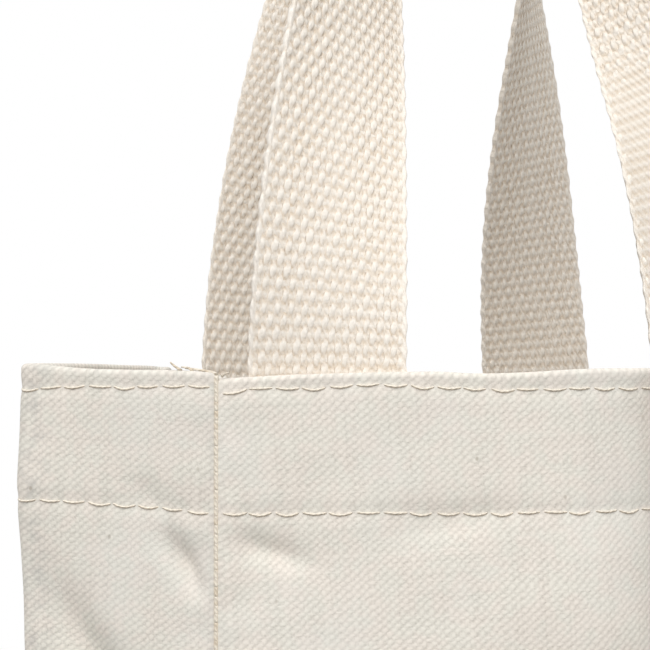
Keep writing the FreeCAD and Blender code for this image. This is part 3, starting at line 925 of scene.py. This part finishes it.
class Finish:
    # owner is a new material, or the world
    def __init__(self, owner):
        owner.use_nodes = True
        self.owner = owner
        self.tree = owner.node_tree

    def add(self, kind, settings=None, sockets=None, out=0):
        node = self.tree.nodes.new(kind)
        for key, value in (settings or {}).items():
            setattr(node, key, value)
        for key, value in (sockets or {}).items():
            self.put(node.inputs[key], value)
        return Signal(self, node, node.outputs[out])

    def put(self, socket, value):
        if isinstance(value, Signal):
            self.tree.links.new(value.socket, socket)
        else:
            socket.default_value = value

    def shade(self, **sockets):
        names = dict(color="Base Color", roughness="Roughness", normal="Normal", sheen="Sheen Weight",
                     sheenRoughness="Sheen Roughness", specular="Specular IOR Level")
        shader = self.tree.nodes["Principled BSDF"]
        for key, value in sockets.items():
            self.put(shader.inputs[names[key]], value)
        return Signal(self, shader, shader.outputs[0])

    def show(self, surface):
        # Makes a shader the one that is seen
        self.put(self.tree.get_output_node("ALL").inputs["Surface"], surface)

    def held(self, name, out):
        return self.add("ShaderNodeAttribute", {"attribute_name": name}, out=out)

    def product(self, first, second):
        return self.add("ShaderNodeVectorMath", {"operation": "MULTIPLY"}, {0: first, 1: second})

    def noise(self, where, scale, detail=2.0, stretch=(1.0, 1.0, 1.0)):
        spread = self.product(where, stretch)
        return self.add("ShaderNodeTexNoise", {}, {"Vector": spread, "Scale": scale, "Detail": detail})

    def bump(self, strength, distance, height):
        return self.add("ShaderNodeBump", {}, {"Strength": strength, "Distance": distance, "Height": height})

    def seen(self):
        # Camera rays alone, and then with the rays that a mirror or glass passes on
        straight = self.add("ShaderNodeLightPath", {}, {}, out="Is Camera Ray")
        mirrored = straight.pick("Is Glossy Ray")
        return straight, straight.atLeast(mirrored).atLeast(straight.pick("Is Transmission Ray"))

    def mix(self, factor, first, second):
        return self.add("ShaderNodeMix", {"data_type": "RGBA"}, {0: factor, 6: first, 7: second}, out=2)

    def multiply(self, color, amount):
        return self.add("ShaderNodeVectorMath", {"operation": "SCALE"}, {0: color, "Scale": amount})

    def blendStep(self, value, low, high):
        return self.add("ShaderNodeMapRange", {"interpolation_type": "SMOOTHSTEP"},
                        {0: value, 1: low, 2: high, 3: 0.0, 4: 1.0})


panelPaintedShade = dict(front=1.03, back=1.0, left=0.975, right=0.985, base=0.97)  # each panel a little different: painted light and shade for the side it faces
canvasLook = dict(
    warpPitch=0.76, weftPitch=0.637, bump=0.00008,
    wander=1.1, warpGrain=0.5, weftGrain=0.4,     # how far the threads stray, in threads
    rising=0.45, falling=0.2, columns=0.12, rows=0.1,
    tint=0.4, fibre=0.75,
    contrast=0.62, middle=0.22, fullness=2.3,     # larger fullness gives full threads and narrow gaps, which carry painted shade
    # how fine each unevenness is, across and up
    warpStray=(0.55, 0.05, 1.0), weftStray=(0.05, 0.6, 1.0), grain=(1.1, 1.3, 1.0),
    warpStreak=(1.28, 0.05, 1.0), weftStreak=(0.05, 1.5, 1.0),
    fibreScale=3.6, mottleScale=0.06, patchScale=0.3, wearAndShadeScale=0.45,
    mottleRange=(0.42, 0.7), patchRange=(0.38, 0.62), wearAndShadeRange=(0.25, 0.75), wearAndShadeInGaps=0.3,
    coolShare=0.3, wornAndShadedShare=0.6, fleckShare=0.6, relief=1.6,
    fleckCell=(0.066, 0.05, 1.0), fleckSize=(0.007, 0.025), fleckChosen=(0.3, 1.0),
    light=(0.865, 0.805, 0.724, 1.0), dark=(0.38, 0.347, 0.30, 1.0), cool=(0.79, 0.765, 0.715, 1.0),
    fleck=(0.22, 0.17, 0.11, 1.0), wornAndShaded=(0.46, 0.445, 0.415, 1.0),
    rosy=(1.01, 0.994, 0.985, 1.0), greenish=(0.988, 1.003, 0.991, 1.0))


def makeCanvas(name, paintedShade):
    look = canvasLook
    f = Finish(bpy.data.materials.new(name + "Canvas"))
    where = f.held("weave", "Vector")
    across = f.add("ShaderNodeSeparateXYZ", {}, {0: where}, out="X")
    up = across.pick("Y")
    warpWander = f.noise(where, 1.0, 2.0, look["warpStray"]) - 0.5
    weftWander = f.noise(where, 1.0, 2.0, look["weftStray"]) - 0.5
    grain = f.noise(where, 1.0, 2.0, look["grain"]) - 0.5
    a = across * (1.0 / look["warpPitch"]) + warpWander * look["wander"] + grain * look["warpGrain"]
    b = up * (1.0 / look["weftPitch"]) + weftWander * look["wander"] - grain * look["weftGrain"]
    rising = ((a - b) * math.pi).cosine()
    falling = ((a + b) * math.pi).cosine()
    columns = (a * (2.0 * math.pi)).cosine()
    rows = (b * (2.0 * math.pi)).cosine()
    weave = rising * look["rising"] - falling * look["falling"]
    weave = weave - columns * look["columns"] - rows * look["rows"]
    warpTint = f.noise(where, 1.0, 2.0, look["warpStreak"]) - 0.5
    weftTint = f.noise(where, 1.0, 2.0, look["weftStreak"]) - 0.5
    fibre = f.noise(where, look["fibreScale"], 4.0) - 0.5
    mottle = f.noise(where, look["mottleScale"], 3.0)
    height = weave * 0.5 + 0.5 + (warpTint + weftTint) * look["tint"] + fibre * look["fibre"]
    level = (height * look["contrast"] + look["middle"]).atLeast(0.0).atMost(1.0)
    level = 1.0 - (1.0 - level) ** look["fullness"]
    # dark is painted shade in the gaps between the threads
    shade = f.mix(level, look["dark"], look["light"])
    shade = f.mix(f.blendStep(mottle, *look["mottleRange"]) * look["coolShare"], shade, look["cool"])
    patch = f.blendStep(f.noise(where, look["patchScale"], 2.0), *look["patchRange"])
    shade = f.product(shade, f.mix(patch, look["rosy"], look["greenish"]))
    # rubbed wear at the rim, seams and floor, and painted shade along the crease, greyed in together
    uneven = f.noise(where, look["wearAndShadeScale"], 3.0) + (0.5 - level) * look["wearAndShadeInGaps"]
    wearAndShadeMask = f.held("wearAndShade", "Fac") * f.blendStep(uneven, *look["wearAndShadeRange"]) * look["wornAndShadedShare"]
    shade = f.mix(wearAndShadeMask, shade, look["wornAndShaded"])
    cells = f.product(where, look["fleckCell"])
    spots = f.add("ShaderNodeTexVoronoi", {"voronoi_dimensions": "2D"}, {"Vector": cells, "Scale": 1.0},
                  out="Distance")
    chosen = f.add("ShaderNodeSeparateColor", {}, {0: spots.pick("Color")})
    fleck = (1.0 - f.blendStep(spots, *look["fleckSize"])) * f.blendStep(chosen, *look["fleckChosen"])
    # the panel's factor lightens or darkens it all: painted light and shade for the side it faces
    shade = f.multiply(f.mix(fleck * look["fleckShare"], shade, look["fleck"]), paintedShade)
    bump = f.bump(1.0, look["bump"], level * look["relief"])
    f.shade(color=shade, roughness=0.92, normal=bump, sheen=0.08, sheenRoughness=0.6, specular=0.12)
    return f.owner


webbingLook = dict(
    light=(0.935, 0.865, 0.775, 1.0), dark=(0.68, 0.54, 0.39, 1.0), bump=0.0001,
    plies=3.0, plyTurns=0.55,             # plies in a yarn, and how many pass per millimetre of it
    deep=0.14, proud=0.4, shadow=0.62,    # lift below which the colour is painted shade, above which it is light, and the difference
    ply=0.1, fibre=0.6, patch=0.3, tint=0.12, middle=0.33,
    fibreScale=(14.0, 2.2, 3.1), patchScale=(0.2, 0.35, 2.3),     # round a yarn, along it, from yarn to yarn
    plyRelief=0.5, fibreRelief=1.4,
    fullness=1.5)                         # larger runs the lights together


def makeWebbing():
    look = webbingLook
    f = Finish(bpy.data.materials.new("undyedWebbing"))
    where = f.held("weave", "Vector")
    lift = f.held("lift", "Fac")
    turn = f.add("ShaderNodeSeparateXYZ", {}, {0: where}, out="X")
    run = turn.pick("Y")
    yarn = turn.pick("Z")
    plies = ((turn * look["plies"] + run * look["plyTurns"]) * (2.0 * math.pi)).cosine()
    fibre = f.noise(where, 1.0, 3.0, look["fibreScale"]) - 0.5
    patch = f.noise(where, 1.0, 2.0, look["patchScale"]) - 0.5
    yarnTint = f.add("ShaderNodeTexWhiteNoise", {"noise_dimensions": "1D"}, {"W": yarn}, out="Value") - 0.5
    # low yarns and weft get painted shade, high ones the light colour
    level = f.blendStep(lift, look["deep"], look["proud"]) * look["shadow"] + look["middle"]
    level = level + plies * look["ply"] + fibre * look["fibre"]
    level = level + patch * look["patch"] + yarnTint * look["tint"]
    level = 1.0 - (1.0 - level.atLeast(0.0).atMost(1.0)) ** look["fullness"]
    shade = f.mix(level, look["dark"], look["light"])
    bump = f.bump(0.9, look["bump"], plies * look["plyRelief"] + fibre * look["fibreRelief"])
    f.shade(color=shade, roughness=0.9, normal=bump, sheen=0.1, sheenRoughness=0.5, specular=0.08)
    return f.owner


threadLook = dict(
    # under is painted shade for the lower side of the hem stitches
    light=(0.91, 0.84, 0.73, 1.0), dark=(0.79, 0.70, 0.57, 1.0), underShade=(0.58, 0.49, 0.38, 1.0),
    seamLight=(0.845, 0.765, 0.645, 1.0), seamDark=(0.69, 0.58, 0.44, 1.0), bump=0.00005,
    plies=2.0, plyTurns=1.1, ply=0.25, fibre=0.6, middle=0.7, fibreScale=(6.0, 3.0, 5.0),
    seamPatchShare=0.75, seamPatchScale=(0.4, 0.5, 0.6), seamPatchRange=(0.36, 0.54),
    underShadeRange=(-0.35, 0.55), underShadeFibre=0.5)


def makeThread(name, light, dark, underShade=None):
    look = threadLook
    f = Finish(bpy.data.materials.new(name))
    where = f.held("weave", "Vector")
    turn = f.add("ShaderNodeSeparateXYZ", {}, {0: where}, out="X")
    run = turn.pick("Y")
    plies = ((turn * look["plies"] + run * look["plyTurns"]) * (2.0 * math.pi)).cosine()
    fibre = f.noise(where, 1.0, 3.0, look["fibreScale"]) - 0.5
    level = (plies * look["ply"] + fibre * look["fibre"] + look["middle"]).atLeast(0.0).atMost(1.0)
    if not underShade:  # seam thread is browner in patches along its run
        seamPatchFree = f.blendStep(f.noise(where, 1.0, 2.0, look["seamPatchScale"]), *look["seamPatchRange"])
        level = seamPatchFree * look["seamPatchShare"] + level * (1.0 - look["seamPatchShare"])
    shade = f.mix(level, dark, light)
    if underShade:  # painted shade on the lower side of each stitch
        top = (turn * (2.0 * math.pi)).cosine()
        shade = f.mix(f.blendStep(top + fibre * look["underShadeFibre"], *look["underShadeRange"]), underShade, shade)
    bump = f.bump(0.8, look["bump"], plies + fibre)
    f.shade(color=shade, roughness=0.7, normal=bump, sheen=0.1, sheenRoughness=0.5, specular=0.2)
    return f.owner


canvas = {name: makeCanvas(name, paintedShade) for name, paintedShade in panelPaintedShade.items()}
webbingFinish = makeWebbing()
hemThread = makeThread("hemThread", threadLook["light"], threadLook["dark"], threadLook["underShade"])
seamThread = makeThread("seamThread", threadLook["seamLight"], threadLook["seamDark"])


def dress(piece, material):
    piece.data.materials.clear()
    piece.data.materials.append(material)


nodeWall = dict(front="front_panel", back="back_panel", left="left_gusset", right="right_gusset")
cornerNode = dict(frontLeft="front_left", frontRight="front_right",
                  backLeft="back_left", backRight="back_right")
for name, piece in wallPieces.items():
    dress(piece, canvas[name])
    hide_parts(nodeWall[name])
    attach(piece, "bag")
for (name, row), piece in rowPieces.items():
    dress(piece, hemThread)
    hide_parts(name + "_" + row + "_stitches")
    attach(piece, "bag")
dress(basePiece, canvas["base"])
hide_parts("base_panel")
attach(basePiece, "bag")
for corner, piece in cornerPieces.items():
    dress(piece, seamThread)
    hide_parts(cornerNode[corner] + "_seam_thread")
    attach(piece, "bag")
for name, piece in edgePieces.items():
    dress(piece, seamThread)
    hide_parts(name + "_base_seam_thread")
    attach(piece, "bag")
for name, piece in handlePieces.items():
    dress(piece, webbingFinish)
    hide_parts(name + "_handle_strap", name + "_left_handle_tail", name + "_right_handle_tail")
    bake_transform(piece)
print("finishes done")


# Studio: pale floor, soft light and the camera

studio = dict(
    floorRadius=3.0, floorSides=96,
    glowStart=0.25, glowFull=0.85,        # distances from the bag between which the floor fades to white
    floorSeen=(0.86, 0.86, 0.855, 1.0), floorBounce=(0.38, 0.38, 0.38, 1.0),
    white=(1.0, 1.0, 1.0, 1.0),
    sky=(0.98, 0.99, 1.0, 1.0), skyStrength=0.74,
    keyLight=dict(place=(-0.38, -0.86, 1.16), aim=(-0.01, -0.02, 0.28), size=1.1, power=9.2,
                  color=(1.0, 1.0, 1.0)),
    topLight=dict(place=(-0.1, -0.25, 1.4), aim=(-0.01, 0.0, 0.28), size=0.7, power=2.6,
                  color=(0.84, 0.92, 1.0)),
    camera=dict(place=(-0.0913, -0.2976, 0.2825), yaw=math.radians(12.38), pitch=0.018, lens=91.15))


def makeFloor():
    deselectAll()
    bpy.ops.mesh.primitive_circle_add(vertices=studio["floorSides"], radius=studio["floorRadius"],
                                      fill_type="NGON")
    floor = bpy.context.object
    floor.name = "floor"
    f = Finish(bpy.data.materials.new("paleFloor"))
    where = f.add("ShaderNodeTexCoord", {}, {}, out="Object")
    far = f.add("ShaderNodeVectorMath", {"operation": "LENGTH"}, {0: where}, out="Value")
    straight, seen = f.seen()
    glow = f.add("ShaderNodeEmission", {}, {"Color": studio["white"], "Strength": 1.0})
    color = f.mix(straight, studio["floorBounce"], studio["floorSeen"])
    plain = f.shade(color=color, roughness=0.9, specular=0.1)
    share = f.blendStep(far, studio["glowStart"], studio["glowFull"]) * seen
    f.show(f.add("ShaderNodeMixShader", {}, {0: share, 1: plain, 2: glow}))
    floor.data.materials.append(f.owner)


def makeSky():
    world = bpy.data.worlds.new("softStudio")
    bpy.context.scene.world = world
    f = Finish(world)
    seen = f.seen()[1]
    soft = f.add("ShaderNodeBackground", {}, {"Color": studio["sky"], "Strength": studio["skyStrength"]})
    white = f.add("ShaderNodeBackground", {}, {"Color": studio["white"], "Strength": 1.0})
    f.show(f.add("ShaderNodeMixShader", {}, {0: seen, 1: soft, 2: white}))


def makeLamp(name, place, aim, size, power, color):
    data = bpy.data.lights.new(name, "AREA")
    data.shape = "DISK"
    data.size = size
    data.energy = power
    data.color = color
    lamp = bpy.data.objects.new(name, data)
    lamp.location = place
    lamp.rotation_euler = (Vector(aim) - Vector(place)).to_track_quat("-Z", "Y").to_euler()
    bpy.context.scene.collection.objects.link(lamp)


def makeCamera(place, yaw, pitch, lens):
    data = bpy.data.cameras.new("camera")
    data.lens = lens
    data.sensor_width = 36.0
    data.clip_start = 0.01
    data.clip_end = 50.0
    camera = bpy.data.objects.new("camera", data)
    camera.location = place
    camera.rotation_euler = (math.pi / 2 + pitch, 0.0, -yaw)
    bpy.context.scene.collection.objects.link(camera)
    bpy.context.scene.camera = camera


makeFloor()
makeSky()
for lamp in ("keyLight", "topLight"):
    makeLamp(lamp, **studio[lamp])
makeCamera(**studio["camera"])
bpy.context.scene.view_settings.view_transform = "Standard"
print("studio done")
